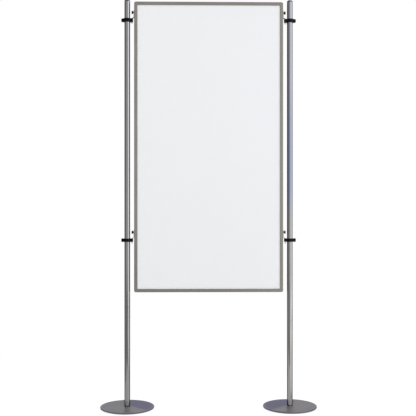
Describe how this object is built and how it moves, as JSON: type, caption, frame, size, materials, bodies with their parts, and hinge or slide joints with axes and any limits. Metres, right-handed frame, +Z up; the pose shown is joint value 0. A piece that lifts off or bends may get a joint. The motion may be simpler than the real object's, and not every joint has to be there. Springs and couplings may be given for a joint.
{
  "type": "free-standing notice board",
  "caption": "Framed notice panel hung between two round poles on flat disc feet, with pole clamps that slide to set its height.",
  "frame": {"origin": "on the floor, midway between the two poles", "axes": "+X to the right as seen from the front, +Y to the back, +Z up"},
  "size_m": [0.908, 0.225, 1.7131],
  "materials": {
    "foot_plate_steel": "smooth satin grey lacquer on steel plate, with a soft sheen",
    "floor_rubber": "matte black",
    "pad_rubber": "matte black",
    "zinc_steel": "bright zinc plate",
    "pole_steel": "bright drawn tube with a fine lengthwise grain",
    "black_plastic": "moulded black with a fine spark texture",
    "bracket_steel": "bent strip, dark grey plate",
    "frame_aluminium": "satin anodised, drawn along its length",
    "board_lacquer": "pale grey satin lacquer",
    "board_core": "paper honeycomb"
  },
  "bodies": {
    "stands": {"left_base_plate": "foot_plate_steel", "left_floor_ring": "floor_rubber", "left_base_screw": "zinc_steel", "left_foot_plug": "zinc_steel", "left_pole": "pole_steel", "left_pole_cap": "black_plastic", "right_base_plate": "foot_plate_steel", "right_floor_ring": "floor_rubber", "right_base_screw": "zinc_steel", "right_foot_plug": "zinc_steel", "right_pole": "pole_steel", "right_pole_cap": "black_plastic"},
    "upper_left_clamp": {"upper_left_clamp_body": "black_plastic"},
    "upper_left_pad": {"upper_left_clamp_pad": "pad_rubber"},
    "upper_left_screw": {"upper_left_clamp_screw": "zinc_steel", "upper_left_clamp_knob": "black_plastic"},
    "upper_left_stud": {"upper_left_bracket_screw": "zinc_steel", "upper_left_bracket_knob": "black_plastic"},
    "upper_left_nut": {"upper_left_slot_nut": "zinc_steel"},
    "upper_right_clamp": {"upper_right_clamp_body": "black_plastic"},
    "upper_right_pad": {"upper_right_clamp_pad": "pad_rubber"},
    "upper_right_screw": {"upper_right_clamp_screw": "zinc_steel", "upper_right_clamp_knob": "black_plastic"},
    "upper_right_stud": {"upper_right_bracket_screw": "zinc_steel", "upper_right_bracket_knob": "black_plastic"},
    "upper_right_nut": {"upper_right_slot_nut": "zinc_steel"},
    "lower_left_clamp": {"lower_left_clamp_body": "black_plastic"},
    "lower_left_pad": {"lower_left_clamp_pad": "pad_rubber"},
    "lower_left_screw": {"lower_left_clamp_screw": "zinc_steel", "lower_left_clamp_knob": "black_plastic"},
    "lower_left_stud": {"lower_left_bracket_screw": "zinc_steel", "lower_left_bracket_knob": "black_plastic"},
    "lower_left_nut": {"lower_left_slot_nut": "zinc_steel"},
    "lower_right_clamp": {"lower_right_clamp_body": "black_plastic"},
    "lower_right_pad": {"lower_right_clamp_pad": "pad_rubber"},
    "lower_right_screw": {"lower_right_clamp_screw": "zinc_steel", "lower_right_clamp_knob": "black_plastic"},
    "lower_right_stud": {"lower_right_bracket_screw": "zinc_steel", "lower_right_bracket_knob": "black_plastic"},
    "lower_right_nut": {"lower_right_slot_nut": "zinc_steel"},
    "board": {"bottom_rail": "frame_aluminium", "right_rail": "frame_aluminium", "top_rail": "frame_aluminium", "left_rail": "frame_aluminium", "bottom_left_corner_key": "zinc_steel", "bottom_right_corner_key": "zinc_steel", "top_right_corner_key": "zinc_steel", "top_left_corner_key": "zinc_steel", "front_sheet": "board_lacquer", "panel_core": "board_core", "back_sheet": "board_lacquer", "upper_left_bracket": "bracket_steel", "upper_right_bracket": "bracket_steel", "lower_left_bracket": "bracket_steel", "lower_right_bracket": "bracket_steel"}
  },
  "joints": [
    {"name": "upper_left_clamp_height", "type": "slide", "parent": "stands", "child": "upper_left_clamp", "axis": [0, 0, 1], "range_m": [-0.45, 0.06]},
    {"name": "upper_left_pad_travel", "type": "slide", "parent": "upper_left_clamp", "child": "upper_left_pad", "axis": [-1, 0, 0], "range_m": [0, 0.001]},
    {"name": "upper_left_screw_turn", "type": "hinge", "parent": "upper_left_pad", "child": "upper_left_screw", "pos_m": [-0.36, 0, 1.626], "axis": [-1, 0, 0], "range_deg": [0, 360]},
    {"name": "upper_left_stud_turn", "type": "hinge", "parent": "board", "child": "upper_left_stud", "pos_m": [-0.3147, 0, 1.659], "axis": [-1, 0, 0], "range_deg": [0, 180]},
    {"name": "upper_left_nut_travel", "type": "slide", "parent": "board", "child": "upper_left_nut", "axis": [1, 0, 0], "range_m": [0, 0.0004]},
    {"name": "upper_right_clamp_height", "type": "slide", "parent": "stands", "child": "upper_right_clamp", "axis": [0, 0, 1], "range_m": [-0.45, 0.06]},
    {"name": "upper_right_pad_travel", "type": "slide", "parent": "upper_right_clamp", "child": "upper_right_pad", "axis": [1, 0, 0], "range_m": [0, 0.001]},
    {"name": "upper_right_screw_turn", "type": "hinge", "parent": "upper_right_pad", "child": "upper_right_screw", "pos_m": [0.36, 0, 1.626], "axis": [1, 0, 0], "range_deg": [0, 360]},
    {"name": "upper_right_stud_turn", "type": "hinge", "parent": "board", "child": "upper_right_stud", "pos_m": [0.3147, 0, 1.659], "axis": [1, 0, 0], "range_deg": [0, 180]},
    {"name": "upper_right_nut_travel", "type": "slide", "parent": "board", "child": "upper_right_nut", "axis": [-1, 0, 0], "range_m": [0, 0.0004]},
    {"name": "lower_left_clamp_height", "type": "slide", "parent": "stands", "child": "lower_left_clamp", "axis": [0, 0, 1], "range_m": [-0.45, 0.06]},
    {"name": "lower_left_pad_travel", "type": "slide", "parent": "lower_left_clamp", "child": "lower_left_pad", "axis": [-1, 0, 0], "range_m": [0, 0.001]},
    {"name": "lower_left_screw_turn", "type": "hinge", "parent": "lower_left_pad", "child": "lower_left_screw", "pos_m": [-0.36, 0, 0.704], "axis": [-1, 0, 0], "range_deg": [0, 360]},
    {"name": "lower_left_stud_turn", "type": "hinge", "parent": "board", "child": "lower_left_stud", "pos_m": [-0.3147, 0, 0.737], "axis": [-1, 0, 0], "range_deg": [0, 180]},
    {"name": "lower_left_nut_travel", "type": "slide", "parent": "board", "child": "lower_left_nut", "axis": [1, 0, 0], "range_m": [0, 0.0004]},
    {"name": "lower_right_clamp_height", "type": "slide", "parent": "stands", "child": "lower_right_clamp", "axis": [0, 0, 1], "range_m": [-0.45, 0.06]},
    {"name": "lower_right_pad_travel", "type": "slide", "parent": "lower_right_clamp", "child": "lower_right_pad", "axis": [1, 0, 0], "range_m": [0, 0.001]},
    {"name": "lower_right_screw_turn", "type": "hinge", "parent": "lower_right_pad", "child": "lower_right_screw", "pos_m": [0.36, 0, 0.704], "axis": [1, 0, 0], "range_deg": [0, 360]},
    {"name": "lower_right_stud_turn", "type": "hinge", "parent": "board", "child": "lower_right_stud", "pos_m": [0.3147, 0, 0.737], "axis": [1, 0, 0], "range_deg": [0, 180]},
    {"name": "lower_right_nut_travel", "type": "slide", "parent": "board", "child": "lower_right_nut", "axis": [-1, 0, 0], "range_m": [0, 0.0004]},
    {"name": "board_lift", "type": "slide", "parent": "upper_left_clamp", "child": "board", "axis": [0, 0, 1], "range_m": [0, 0.03]}
  ],
  "couplings": [
    {"joint": "upper_left_screw_turn", "follows": "upper_left_pad_travel", "rad_per_m": 6283.2},
    {"joint": "upper_left_stud_turn", "follows": "upper_left_nut_travel", "rad_per_m": 7853.9},
    {"joint": "upper_right_clamp_height", "follows": "upper_left_clamp_height", "ratio": 1},
    {"joint": "upper_right_screw_turn", "follows": "upper_right_pad_travel", "rad_per_m": 6283.2},
    {"joint": "upper_right_stud_turn", "follows": "upper_right_nut_travel", "rad_per_m": 7853.9},
    {"joint": "lower_left_clamp_height", "follows": "upper_left_clamp_height", "ratio": 1},
    {"joint": "lower_left_screw_turn", "follows": "lower_left_pad_travel", "rad_per_m": 6283.2},
    {"joint": "lower_left_stud_turn", "follows": "lower_left_nut_travel", "rad_per_m": 7853.9},
    {"joint": "lower_right_clamp_height", "follows": "upper_left_clamp_height", "ratio": 1},
    {"joint": "lower_right_screw_turn", "follows": "lower_right_pad_travel", "rad_per_m": 6283.2},
    {"joint": "lower_right_stud_turn", "follows": "lower_right_nut_travel", "rad_per_m": 7853.9}
  ]
}
